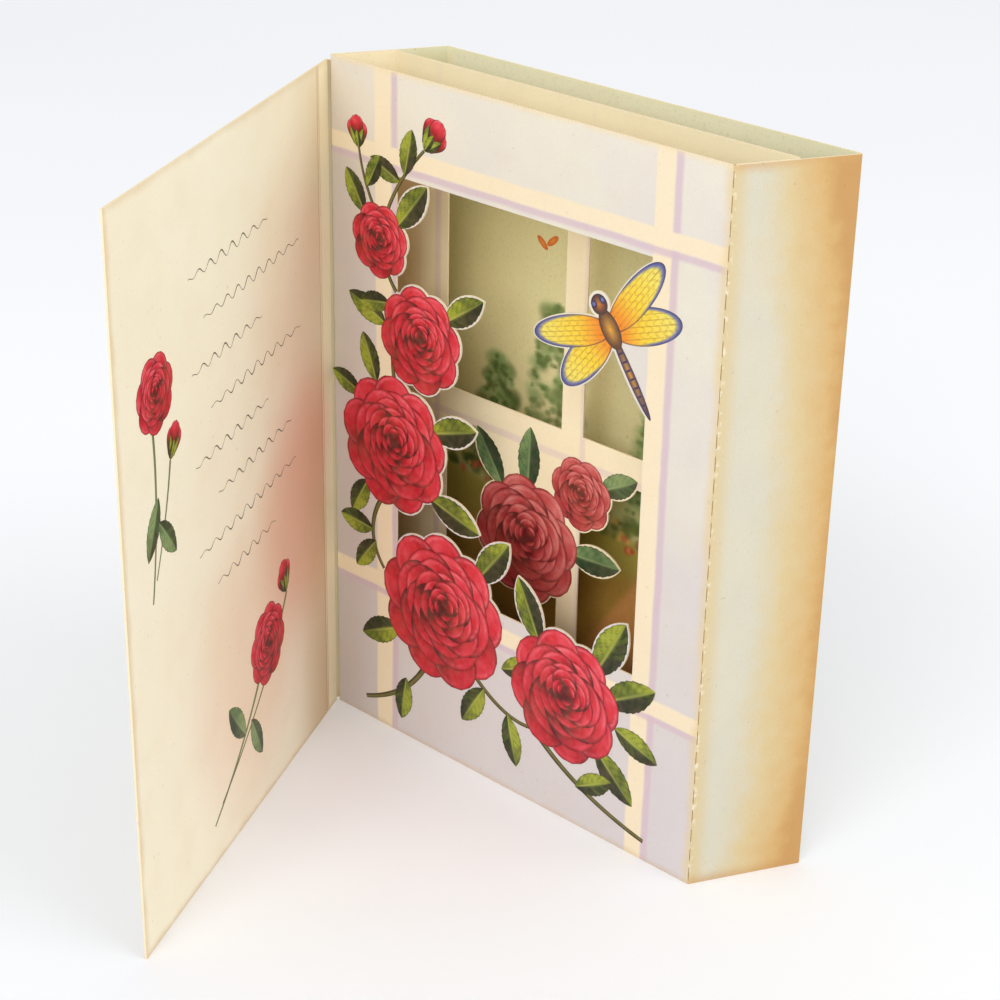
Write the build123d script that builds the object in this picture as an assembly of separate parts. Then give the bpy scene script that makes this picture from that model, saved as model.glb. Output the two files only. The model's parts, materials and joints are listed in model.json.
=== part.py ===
from build123d import *
import math
import os

# Pop up window card: a shallow box folded from one sheet of card, with a die-cut window in its
# front panel, a second window layer glued inside it, and a cover leaf hinged on its front left edge.
#
# Millimetres, +Z up. The front panel faces -Y and runs along X. The origin is the middle of the
# front panel's lower edge, halfway through the card.

# ---- Driving dimensions ----------------------------------------------------------------------
panel_width = 105.4        # front and back panels, along X
panel_height = 152.4       # all of the box's panels, along Z
box_depth = 23.0           # from the front panel's outer face to the back panel's outer face
skew_deg = 27.2            # lean of the side walls: the back stands this far round to +X
card = 0.4                 # thickness of the box sheet and the cover
fold_radius = 0.2          # inside radius of the box's folds

flap_width = 11.0          # glue flap behind the front panel's left margin
flap_end_taper = 4.0       # how far the flap's ends slope away from the fold

score_length = 3.0         # cut-scores along two of the folds
score_pitch = 4.6
score_width = 0.16
score_depth = 0.22

layer_card = 0.35          # thickness of the window layer's sheet
layer_setback = 12.3       # from the front panel's outer face to the window layer's front face
layer_fold_radius = 0.6    # inside radius of the layer's two folds
tab_clearance = 0.3        # between the tabs' front ends and the glue flap

opening_left = 20.0        # die-cut opening: its left side, from the panel's left edge
opening_right = 17.4       # its right side, from the panel's right edge
opening_top = 21.4         # its top, from the panel's top edge
opening_bottom = 42.0      # its bottom, from the panel's lower edge
cut_margin = 0.6           # plain card left round each printed flower, leaf and wing

stile_width = 16.5         # window layer: side margins
top_rail = 20.0
bottom_rail = 33.0
mullion_width = 5.8        # upright bar between the panes
crossbar_height = 6.9      # level bar between the panes
crossbar_bottom = 75.5     # its lower edge, from the lower edge of the layer

cover_short = 1.2          # the cover is this much narrower than the front panel
cover_drop = 0.9           # the cover's top edge is this much lower than the box's
cover_open_deg = 63.4      # between the cover and the front panel, as the card stands
hinge_inset = 0.2          # hinge line: in from the panel's left edge
hinge_clearance = 0.25     # and out from its face, which is the gap behind the closed cover
cover_gap = 0.2            # between the hinge line and the cover's edge
crease_offset = 5.5        # scored crease beside the hinge
crease_width = 0.7
crease_depth = 0.12

# Flowers that hang over the front opening's edge: x and z of the centre from the panel's lower
# left corner, radius to the petal tips, number of petals.
front_blooms = [
    (34.0, 36.0, 18.0, 9),
    (70.0, 29.5, 15.0, 8),
    (19.0, 71.0, 15.5, 9),
    (27.0, 97.0, 11.5, 8),
    (15.0, 116.0, 8.0, 7),
]
# Leaves that reach into the front opening: x and z of the stalk end, length, width, direction.
front_leaves = [
    (30.0, 77.0, 14.0, 6.2, 18),
    (30.0, 62.0, 15.0, 6.4, -14),
    (44.0, 47.0, 15.0, 6.4, 52),
    (63.0, 39.0, 15.0, 6.2, 116),
    (78.0, 38.0, 16.5, 7.0, 62),
    (81.0, 33.0, 15.0, 6.6, 30),
    (34.0, 103.0, 13.0, 5.4, 34),
    (20.0, 120.0, 13.5, 5.6, 50),
]
# The dragonfly over the opening's top right corner: its thorax, from that corner, and the way it
# heads. Each wing is its length, its width and its angle from the heading.
dragonfly_inset = 9.5
dragonfly_drop = 17.0
dragonfly_heading = 125
dragonfly_wings = [(20.0, 6.0, 72), (20.0, 6.0, -72), (18.0, 7.0, 106), (18.0, 7.0, -106)]
dragonfly_tail = 19.0
dragonfly_tail_width = 2.2
dragonfly_thorax = (4.2, 2.3)       # half its length and half its width
dragonfly_head = 2.1

# The flowers and leaves that stand in the window layer, from the foot of its upright bar.
layer_blooms = [(-12.0, 54.0, 14.5, 8), (3.0, 69.5, 8.0, 7)]
layer_leaves = [
    (-19.0, 64.0, 14.0, 5.8, 124),
    (-12.0, 65.0, 15.0, 5.8, 88),
    (0.0, 55.0, 14.0, 6.0, 4),
    (8.0, 72.0, 11.0, 5.0, 28),
]

# ---- Worked-out values -------------------------------------------------------------------------
lean = math.tan(math.radians(skew_deg))
across = 1 / math.cos(math.radians(skew_deg))    # a side wall's thickness, measured along X
to_origin = Pos(-panel_width / 2, -card / 2, 0)
window_top = panel_height - opening_top
window_right = panel_width - opening_right
layer_middle = panel_width / 2


def cell(front, back, inset):
    """The leaning four-sided outline between two depths, with its sides inset from the walls."""
    corners = [
        (front * lean + inset * across, front),
        (panel_width + front * lean - inset * across, front),
        (panel_width + back * lean - inset * across, back),
        (back * lean + inset * across, back),
    ]
    return make_face(Polyline(*corners, close=True))


def bloom_outline(x, z, radius, petals):
    """A round flower: one disc and a ring of petals, each a smaller disc."""
    reach = radius + cut_margin
    petal = reach * math.sin(math.pi / petals) * 1.12
    outline = Pos(x, z) * Circle(reach - petal / 2)
    for k in range(petals):
        turn = 2 * math.pi * (k + 0.25) / petals
        spread = reach - petal
        outline += Pos(x + spread * math.cos(turn), z + spread * math.sin(turn)) * Circle(petal)
    return outline


def leaf_outline(x, z, length, width, direction):
    """A pointed leaf: two arcs that meet at the stalk and at the tip."""
    reach = length + cut_margin
    half = width / 2 + cut_margin
    edge = ThreePointArc((0, 0), (reach / 2, half), (reach, 0))
    other_edge = ThreePointArc((reach, 0), (reach / 2, -half), (0, 0))
    return Pos(x, z) * Rot(0, 0, direction) * make_face(edge + other_edge)


def dragonfly_outline(x, z):
    """A dragonfly seen from above: thorax, head, tail and four wings."""
    long_half, wide_half = dragonfly_thorax
    outline = Ellipse(long_half + cut_margin, wide_half + cut_margin)
    outline += Pos(long_half + dragonfly_head / 2, 0) * Circle(dragonfly_head + cut_margin)
    tail = Ellipse(dragonfly_tail / 2 + cut_margin, dragonfly_tail_width / 2 + cut_margin)
    outline += Pos(-dragonfly_tail / 2, 0) * tail
    for length, width, angle in dragonfly_wings:
        wing = Ellipse(length / 2 + cut_margin, width / 2 + cut_margin)
        outline += Rot(0, 0, angle) * Pos(length / 2, 0) * wing
    return Pos(x, z) * Rot(0, 0, dragonfly_heading) * outline


def upright(outline, depth, reach):
    """A flat outline in x and z, stood up at a depth and thickened both ways by reach."""
    return extrude(Plane((0, depth, 0), x_dir=(1, 0, 0), z_dir=(0, -1, 0)) * outline, reach, both=True)


def rectangle(left, bottom, right, top):
    return Pos((left + right) / 2, (bottom + top) / 2) * Rectangle(right - left, top - bottom)


def front_opening():
    """The front panel's die-cut opening: straight above and at the right, flowers elsewhere."""
    opening = rectangle(opening_left, opening_bottom, window_right, window_top)
    for bloom in front_blooms:
        opening -= bloom_outline(*bloom)
    for leaf in front_leaves:
        opening -= leaf_outline(*leaf)
    opening -= dragonfly_outline(window_right - dragonfly_inset, window_top - dragonfly_drop)
    return opening.faces().sort_by(SortBy.AREA)[-1]


def layer_panes():
    """The window layer's four panes, less the flower that stands in them."""
    half = mullion_width / 2
    columns = [(stile_width, layer_middle - half), (layer_middle + half, panel_width - stile_width)]
    rows = [
        (bottom_rail, crossbar_bottom),
        (crossbar_bottom + crossbar_height, panel_height - top_rail),
    ]
    # The layer's own left edge stands further along X than the front panel's, by its lean.
    shift = layer_setback * lean
    panes = []
    for left, right in columns:
        for bottom, top in rows:
            pane = rectangle(left + shift, bottom, right + shift, top)
            for x, z, *rest in layer_blooms:
                pane -= bloom_outline(layer_middle + shift + x, z, *rest)
            for x, z, *rest in layer_leaves:
                pane -= leaf_outline(layer_middle + shift + x, z, *rest)
            panes.append(pane.faces().sort_by(SortBy.AREA)[-1])
    return panes


def cut_scores():
    """Short part-depth cuts down the front right fold and the back left fold."""
    half_corner = math.radians(90 + skew_deg) / 2
    outer_radius = fold_radius + card
    to_apex = outer_radius / math.sin(half_corner) - outer_radius
    outward = Vector(math.cos(half_corner), -math.sin(half_corner))
    folds = [
        Vector(panel_width, 0) - outward * to_apex,
        Vector(box_depth * lean, box_depth) + outward * to_apex,
    ]
    count = int(panel_height / score_pitch)
    lowest = (panel_height - (count - 1) * score_pitch) / 2
    turn = Rot(0, 0, -math.degrees(half_corner))
    return [
        Pos(fold.X, fold.Y, lowest + k * score_pitch) * turn * Box(2 * score_depth, score_width, score_length)
        for fold in folds
        for k in range(count)
    ]


def glue_flap():
    """The end of the sheet, turned in from the left wall and stuck behind the front panel."""
    root = 1.5 * card * lean + card * across / 2
    outline = Polyline(
        (root, card),
        (flap_width, flap_end_taper),
        (flap_width, panel_height - flap_end_taper),
        (root, panel_height - card),
        close=True,
    )
    return upright(make_face(outline), 1.5 * card, card / 2)


def box_sheet():
    outer = cell(0, box_depth, 0)
    outer = fillet(outer.vertices(), fold_radius + card)
    inner = cell(card, box_depth - card, card)
    inner = fillet(inner.vertices(), fold_radius)
    sheet = extrude(outer - inner, panel_height) + glue_flap()
    sheet -= upright(front_opening(), card / 2, card)
    return sheet - cut_scores()


def window_layer():
    tab_front = 2 * card + tab_clearance
    back = layer_setback + layer_card
    outer = cell(tab_front, back, card)
    outer = fillet(outer.vertices().sort_by(Axis.Y)[-2:], layer_fold_radius + layer_card)
    inner = cell(0, layer_setback, card + layer_card)
    inner = fillet(inner.vertices().sort_by(Axis.Y)[-2:], layer_fold_radius)
    sheet = extrude(outer - inner, panel_height)
    for pane in layer_panes():
        sheet -= upright(pane, layer_setback + layer_card / 2, layer_card)
    return sheet


def cover_leaf():
    """Built closed, flat over the front panel, then swung open about the hinge line."""
    width = panel_width - cover_short
    height = panel_height - cover_drop
    leaf = Pos(cover_gap, -card, 0) * Box(width, card, height, align=Align.MIN)
    crease = Pos(cover_gap + crease_offset, -crease_depth, 0)
    leaf -= crease * Box(crease_width, 2 * crease_depth, height, align=Align.MIN)
    return Pos(hinge_inset, -hinge_clearance, 0) * Rot(0, 0, -cover_open_deg) * leaf


os.makedirs("parts", exist_ok=True)
for name, shape in {
    "box_sheet": box_sheet(),
    "window_layer": window_layer(),
    "cover_leaf": cover_leaf(),
}.items():
    export_step(to_origin * shape, f"parts/{name}.step")
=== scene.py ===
"""Looks of the pop up window card: printed card, painted flowers, a dragonfly and a garden view.

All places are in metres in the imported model's frame. Painted shapes are set out in millimetres from
the lower left corner of the face that they lie on.
"""
import json
import math
import random

import bmesh
import bpy
import numpy as np
from mathutils import Matrix, Vector


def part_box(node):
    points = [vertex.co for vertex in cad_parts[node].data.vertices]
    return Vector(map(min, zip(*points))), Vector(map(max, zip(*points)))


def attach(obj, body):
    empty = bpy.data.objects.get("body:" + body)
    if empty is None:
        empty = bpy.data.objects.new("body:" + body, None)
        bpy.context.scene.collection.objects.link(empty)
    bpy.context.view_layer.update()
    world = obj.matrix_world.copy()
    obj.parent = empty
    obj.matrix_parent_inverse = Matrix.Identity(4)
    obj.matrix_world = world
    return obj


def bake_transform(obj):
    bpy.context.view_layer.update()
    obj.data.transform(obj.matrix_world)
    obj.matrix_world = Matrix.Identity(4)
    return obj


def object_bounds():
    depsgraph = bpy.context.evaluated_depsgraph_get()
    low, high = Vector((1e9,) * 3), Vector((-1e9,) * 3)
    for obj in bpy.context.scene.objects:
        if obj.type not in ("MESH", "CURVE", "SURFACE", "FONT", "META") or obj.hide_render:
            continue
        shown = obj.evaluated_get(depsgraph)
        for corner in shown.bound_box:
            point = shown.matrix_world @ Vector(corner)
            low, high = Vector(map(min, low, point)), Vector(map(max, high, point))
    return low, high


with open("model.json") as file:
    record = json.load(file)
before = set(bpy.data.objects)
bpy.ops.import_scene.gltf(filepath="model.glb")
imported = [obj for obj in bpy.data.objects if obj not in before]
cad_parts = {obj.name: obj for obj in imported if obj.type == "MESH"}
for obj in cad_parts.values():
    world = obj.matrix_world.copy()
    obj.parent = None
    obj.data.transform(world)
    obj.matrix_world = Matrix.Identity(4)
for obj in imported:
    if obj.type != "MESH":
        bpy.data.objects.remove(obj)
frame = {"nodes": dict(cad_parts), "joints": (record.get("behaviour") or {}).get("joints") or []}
cad_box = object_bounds()

# ---- Sizes, from the frame and from the card's own make-up -------------------------------------
MM = 0.001
UP = Vector((0, 0, 1))
box_low, box_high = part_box("box_sheet")
layer_low, layer_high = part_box("window_layer")
FRONT = box_low.y
BACK = box_high.y
HEIGHT = box_high.z
WIDTH = 105.4 * MM
CARD = 0.4 * MM
TINY = 0.02 * MM

# The side walls run back and to the right from the front panel.
SKEW = math.radians(27.2)
LEAN = math.tan(SKEW)
WALL = Vector((math.sin(SKEW), math.cos(SKEW), 0))
WALL_OUT = Vector((math.cos(SKEW), -math.sin(SKEW), 0))
HINGE_SIDE = Vector((-WIDTH / 2, FRONT, 0))
RIGHT_FOLD = HINGE_SIDE + Vector((WIDTH, 0, 0))
FOLD_RADIUS = 0.6 * MM
FOLD_CENTRE = RIGHT_FOLD + Vector((-(1 - math.sin(SKEW)) / math.cos(SKEW), 1, 0)) * FOLD_RADIUS
LAYER_SETBACK = 12.3 * MM

# The cover stands open from its hinge line, and its edge clears that line by a small gap.
HINGE = Vector(frame["joints"][0]["pos_m"])
COVER_OPEN = math.radians(63.4)
COVER_ALONG = Vector((math.cos(COVER_OPEN), -math.sin(COVER_OPEN), 0))
COVER_INWARD = Vector((math.sin(COVER_OPEN), math.cos(COVER_OPEN), 0))
COVER_GAP = 0.2 * MM

# In millimetres: the die-cut line stands outside each flower and leaf by CUT_MARGIN, and a rim of
# bare card, PAINT_MARGIN wide, is left inside that line.
CUT_MARGIN = 0.6
PAINT_MARGIN = 0.28
PAINT_GROWTH = CUT_MARGIN - PAINT_MARGIN
OPENING_RIGHT, OPENING_TOP = 88.0, 131.0

# The flowers and leaves that the two die-cut layers are cut round, in millimetres. A bloom is x, z,
# radius and number of petals. A leaf is x, z, length, width and the way it points, in degrees.
FRONT_BLOOMS = [
    (34.0, 36.0, 18.0, 9),
    (70.0, 29.5, 15.0, 8),
    (19.0, 71.0, 15.5, 9),
    (27.0, 97.0, 11.5, 8),
    (15.0, 116.0, 8.0, 7),
]
FRONT_LEAVES = [
    (30.0, 77.0, 14.0, 6.2, 18),
    (30.0, 62.0, 15.0, 6.4, -14),
    (44.0, 47.0, 15.0, 6.4, 52),
    (63.0, 39.0, 15.0, 6.2, 116),
    (78.0, 38.0, 16.5, 7.0, 62),
    (81.0, 33.0, 15.0, 6.6, 30),
    (34.0, 103.0, 13.0, 5.4, 34),
    (20.0, 120.0, 13.5, 5.6, 50),
]
LAYER_BLOOMS = [(-12.0, 54.0, 14.5, 8), (3.0, 69.5, 8.0, 7)]
LAYER_LEAVES = [
    (-19.0, 64.0, 14.0, 5.8, 124),
    (-12.0, 65.0, 15.0, 5.8, 88),
    (0.0, 55.0, 14.0, 6.0, 4),
    (8.0, 72.0, 11.0, 5.0, 28),
]

# The dragonfly's wings: length, width and angle from its heading.
WINGS = [(20.0, 6.0, 72), (20.0, 6.0, -72), (18.0, 7.0, 106), (18.0, 7.0, -106)]

# ---- Colours, as 0 to 255 display values ----------------------------------------------------------
RED = dict(dark=(82, 2, 14), deep=(140, 4, 26), mid=(198, 14, 42), bright=(226, 38, 62),
           light=(246, 132, 142))
DUSTY = dict(dark=(92, 10, 16), deep=(142, 26, 34), mid=(184, 50, 56), bright=(208, 92, 92),
             light=(236, 164, 154))
GREEN = dict(dark=(22, 36, 8), deep=(52, 70, 14), mid=(104, 120, 26), bright=(160, 170, 48),
             light=(206, 208, 104))
COOL_GREEN = dict(dark=(36, 62, 36), deep=(60, 92, 54), mid=(92, 126, 76), bright=(134, 160, 104),
                  light=(176, 190, 136))


def linear(colour):
    """Display values as linear light."""
    c = np.asarray(colour, float) / 255
    return np.where(c <= 0.04045, c / 12.92, ((c + 0.055) / 1.055) ** 2.4)


def smooth(value, low, high):
    """0 at low, 1 at high, smooth between."""
    t = np.clip((value - low) / (high - low), 0, 1)
    return t * t * (3 - 2 * t)


def blend(share, a, b):
    """Colour a where share is 0 and b where it is 1."""
    share = np.asarray(share, float)[..., None]
    return np.asarray(a, float) * (1 - share) + np.asarray(b, float) * share


def add_object(name, data):
    """Makes an object of a mesh, lamp or camera and puts it in the scene."""
    piece = bpy.data.objects.new(name, data)
    bpy.context.scene.collection.objects.link(piece)
    return piece


# ---- Painted shapes ------------------------------------------------------------------------------
class Painting:
    """Painted shapes on one flat face, gathered into one mesh. Each level lies a hair over the last."""

    FIRST_LIFT = 0.01 * MM
    LEVEL_LIFT = 0.002 * MM
    MERGE = 0.00005 * MM  # points nearer than this become one, at a petal's tip or an oval's middle

    def __init__(self, origin, along, out):
        self.origin, self.along, self.out = (np.array(v, float) for v in (origin, along, out))
        self.points, self.faces, self.colours = [], [], []
        self.count = 0

    def grid(self, x, z, colours, level=0):
        """Adds a sheet of quads that face outwards: x and z are two-way arrays in millimetres."""
        lift = self.FIRST_LIFT + level * self.LEVEL_LIFT
        rows, columns = x.shape
        flat = self.origin + self.out * lift
        points = flat + x[..., None] * MM * self.along + z[..., None] * MM * np.array(UP)
        index = self.count + np.arange(rows * columns).reshape(rows, columns)
        quads = np.stack([index[:-1, :-1], index[:-1, 1:], index[1:, 1:], index[1:, :-1]], axis=-1)
        areas = np.cross(points[1:, 1:] - points[:-1, :-1], points[1:, :-1] - points[:-1, 1:])
        if areas.sum(axis=(0, 1)) @ self.out < 0:
            quads = quads[..., ::-1]
        self.points.append(points.reshape(-1, 3))
        self.faces.append(quads.reshape(-1, 4))
        self.colours.append(np.broadcast_to(colours, (rows, columns, 3)).reshape(-1, 3))
        self.count += rows * columns

    def build(self, name, material, body):
        """Makes the piece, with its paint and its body."""
        mesh = bpy.data.meshes.new(name)
        points, faces = np.concatenate(self.points), np.concatenate(self.faces)
        mesh.from_pydata(points.tolist(), [], faces.tolist())
        paint = mesh.color_attributes.new("paint", "FLOAT_COLOR", "POINT")
        rgba = np.ones((len(points), 4))
        rgba[:, :3] = linear(np.clip(np.concatenate(self.colours), 0, 255))
        paint.data.foreach_set("color", rgba.ravel())
        shape = bmesh.new()
        shape.from_mesh(mesh)
        bmesh.ops.remove_doubles(shape, verts=shape.verts, dist=self.MERGE)
        shape.to_mesh(mesh)
        shape.free()
        mesh.materials.append(material)
        piece = add_object(name, mesh)
        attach(piece, body)


def turned(x, z, centre_x, centre_z, degrees):
    """Turns a place by some degrees and moves it out to a centre."""
    a = math.radians(degrees)
    return centre_x + x * math.cos(a) - z * math.sin(a), centre_z + x * math.sin(a) + z * math.cos(a)


PETAL_START = 0.12
LIGHT_SIDE = 62


def petal(painting, x, z, degrees, tip, round_radius, tones, level, rng, rows=20, columns=17):
    """One petal from the flower's centre out to its tip, with a round end."""
    spread = tip - round_radius
    u = np.linspace(PETAL_START, 1, rows)[:, None] ** 0.8
    v = np.linspace(-1, 1, columns)[None, :]
    along = u * tip
    past = np.clip((along - spread) / round_radius, 0, 1)
    width = np.where(
        along < spread,
        round_radius * (0.45 + 0.55 * smooth(along / max(spread, 0.01), 0, 1)),
        round_radius * np.sqrt(1 - past**2),
    )
    across = width * v
    edge = np.maximum(np.abs(v) * np.ones_like(along), np.hypot(past, v * np.sqrt(1 - past**2)))
    edge = np.clip(edge, 0, 1)
    # The shading runs over t, the petal's outer half: dark at its root and on one side, streaked
    # along, with a soft glow near the tip and a pale rim.
    t = np.clip((u - 0.45) / 0.55, 0, 1)
    side = rng.choice((-1, 1))
    phase = rng.uniform(0, 6)
    facing = math.cos(math.radians(degrees - LIGHT_SIDE))
    streak = np.sin(v * rng.uniform(7, 10) + phase) * 0.5 + np.sin(v * 17 + phase * 2) * 0.25
    body = 0.18 + 0.62 * smooth(t, 0.0, 0.75) + 0.12 * facing + 0.10 * streak * t
    body = body - 0.26 * smooth(side * v, 0.1, 1.0)
    glow = np.exp(-(((t - 0.66) / 0.2) ** 2) - ((v + side * 0.32) / 0.3) ** 2)
    rim = np.exp(-(((edge - 0.87) / 0.055) ** 2)) * smooth(t, 0.1, 0.6)
    rim = rim * (0.55 + 0.3 * facing + 0.25 * np.sin(v * 3 + phase))
    colour = blend(smooth(body, 0.0, 0.45), tones["dark"], tones["deep"])
    colour = blend(smooth(body, 0.25, 0.8), colour, tones["mid"])
    colour = blend(smooth(body, 0.62, 1.05), colour, tones["bright"])
    colour = blend(0.42 * glow * (0.6 + 0.4 * facing), colour, tones["light"])
    colour = blend(np.clip(0.75 * rim, 0, 1), colour, tones["light"])
    colour = blend(0.7 * smooth(edge, 0.93, 1.0), colour, tones["dark"])
    grid_x, grid_z = turned(along * np.ones_like(v), across, x, z, degrees)
    painting.grid(grid_x, grid_z, colour, level)


# A bloom's inner rings: reach as a share of its radius, and how many fewer petals than the outer ring.
RINGS = [(0.82, 1), (0.66, 1), (0.52, 2), (0.39, 3), (0.27, 4), (0.17, 5)]
HEART_X, HEART_Z = 0.05, 0.08
PETAL_OVERLAP = 1.12
INNER_OVERLAP = 1.38


def bloom(painting, x, z, radius, petals, tones, seed, level=6):
    """A full round flower: an outer ring of petals that meets the die-cut line, and rings inside it.

    The rings draw towards the heart, a little off the middle, and a dark disc closes the space there.
    """
    rng = random.Random(seed)
    reach = radius + CUT_MARGIN
    cut_petal = reach * math.sin(math.pi / petals) * PETAL_OVERLAP
    round_radius = cut_petal - PAINT_MARGIN
    tip = reach - cut_petal + round_radius
    oval(painting, x, z, radius * 0.5, radius * 0.5, 0, tones["dark"], tones["deep"], level)
    level += 1
    order = list(range(petals))
    rng.shuffle(order)
    for k in order:
        petal(painting, x, z, 360 * (k + 0.25) / petals, tip, round_radius, tones, level, rng)
        level += 1
    start = 0.25
    # Each ring starts about half a petal on from the last.
    for share, fewer in RINGS:
        count = max(3, petals - fewer)
        start += 0.5 + rng.uniform(-0.1, 0.1)
        round_radius = radius * share * min(0.6, math.sin(math.pi / count) * INNER_OVERLAP)
        middle_x = x + HEART_X * radius * (1 - share)
        middle_z = z + HEART_Z * radius * (1 - share)
        for k in range(count):
            degrees = 360 * (k + start) / count + rng.uniform(-7, 7)
            tip = radius * share * rng.uniform(0.95, 1.05)
            petal(painting, middle_x, middle_z, degrees, tip, round_radius, tones, level, rng, 16, 13)
            level += 1


TEETH = 9
SIDE_VEINS = 7


def leaf(painting, x, z, length, width, degrees, tones, level=0, rows=37, columns=15):
    """A pointed leaf of two arcs, with a toothed edge, a midrib and side veins."""
    length = length + PAINT_GROWTH
    half = width / 2 + PAINT_GROWTH
    radius = (length**2 / 4 + half**2) / (2 * half)
    u = np.linspace(0, 1, rows)[:, None]
    v = np.linspace(-1, 1, columns)[None, :]
    along = u * length * np.ones_like(v)
    reach = np.sqrt(np.clip(radius**2 - (along - length / 2) ** 2, 0, None)) - (radius - half)
    teeth = ((u * TEETH) % 1) * smooth(u, 0.1, 0.3) * smooth(u, 1.0, 0.8)
    across = np.clip(reach, 0, None) * v * (1 - 0.09 * teeth * v**2)
    vein = np.abs(((u * SIDE_VEINS - np.abs(v) * 1.7) % 1) - 0.5)
    body = 0.48 + 0.34 * np.sign(v) * smooth(np.abs(v), 0.0, 0.25) + 0.2 * np.sin(u * 5 + length)
    body = body + 0.16 * np.sin(u * 23 + v * 4 + length) * np.abs(v)
    body = body - 0.34 * smooth(vein, 0.32, 0.5) * smooth(np.abs(v), 0.1, 0.3)
    colour = blend(smooth(body, 0.0, 0.4), tones["dark"], tones["deep"])
    colour = blend(smooth(body, 0.25, 0.7), colour, tones["mid"])
    colour = blend(smooth(body, 0.6, 1.0), colour, tones["bright"])
    colour = blend(0.8 * np.exp(-((v / 0.09) ** 2)) * (1 - 0.6 * u), colour, tones["light"])
    colour = blend(0.6 * smooth(np.abs(v), 0.86, 1.0) * np.ones_like(u), colour, tones["dark"])
    grid_x, grid_z = turned(along, across, x, z, degrees)
    painting.grid(grid_x, grid_z, colour, level)


RIBBON_STEPS = 40


def ribbon(painting, points, width, dark, light, level, taper):
    """A painted stem between two points, bent towards the one between them and thinner at its end."""
    (x0, z0), (x1, z1), (x2, z2) = points
    t = np.linspace(0, 1, RIBBON_STEPS)
    x = (1 - t) ** 2 * x0 + 2 * t * (1 - t) * x1 + t**2 * x2
    z = (1 - t) ** 2 * z0 + 2 * t * (1 - t) * z1 + t**2 * z2
    line(painting, x, z, width * (1 - taper * t), dark, light, level)


def line(painting, x, z, width, dark, light, level, columns=5):
    """A painted line through a row of places, lighter along one side of its middle."""
    dx, dz = np.gradient(x), np.gradient(z)
    size = np.hypot(dx, dz) + 1e-9
    v = np.linspace(-1, 1, columns)[None, :]
    half = (np.asarray(width) / 2 * np.ones_like(x))[:, None]
    grid_x = x[:, None] - (dz / size)[:, None] * half * v
    grid_z = z[:, None] + (dx / size)[:, None] * half * v
    colour = blend(np.exp(-(((v - 0.2) / 0.45) ** 2)) * np.ones_like(grid_x), dark, light)
    painting.grid(grid_x, grid_z, colour, level)


OVAL_RINGS, OVAL_STEPS = 9, 40


def oval(painting, x, z, half_long, half_wide, degrees, centre, rim, level):
    """An oval whose colour runs from its centre to its rim."""
    r = np.linspace(0.0, 1, OVAL_RINGS)[:, None]
    a = np.linspace(0, 2 * math.pi, OVAL_STEPS)[None, :]
    grid_x, grid_z = turned(r * half_long * np.cos(a), r * half_wide * np.sin(a), x, z, degrees)
    painting.grid(grid_x, grid_z, blend(r * np.ones_like(a), centre, rim), level)


BUD_LEVEL = 2
BUD_PETALS = [(-15, 0.86), (15, 0.9), (0, 1.0)]
SEPALS = [(-24, 0.62), (24, 0.66), (2, 0.5)]


def bud(painting, x, z, length, degrees, tones, greens, seed):
    """A closed flower: three narrow petals held by sepals."""
    rng = random.Random(seed)
    level = BUD_LEVEL
    for swing, share in BUD_PETALS:
        petal(painting, x, z, degrees + swing, length * share, length * 0.27, tones, level, rng, 14, 11)
        level += 1
    for swing, share in SEPALS:
        leaf(painting, x, z, length * share, length * 0.17, degrees + swing, greens, level, 14, 9)
        level += 1


# ---- Materials ------------------------------------------------------------------------------------
# The card's own marks: how big each is, and its tone.
FIBRE, FIBRE_DEPTH, FIBRE_TONE = 0.35 * MM, 0.05 * MM, (150, 120, 84)
STAIN, STAIN_TONE = 9 * MM, (214, 170, 110)
SPECK, SPECK_TONE = 1.1 * MM, (128, 92, 58)


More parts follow.
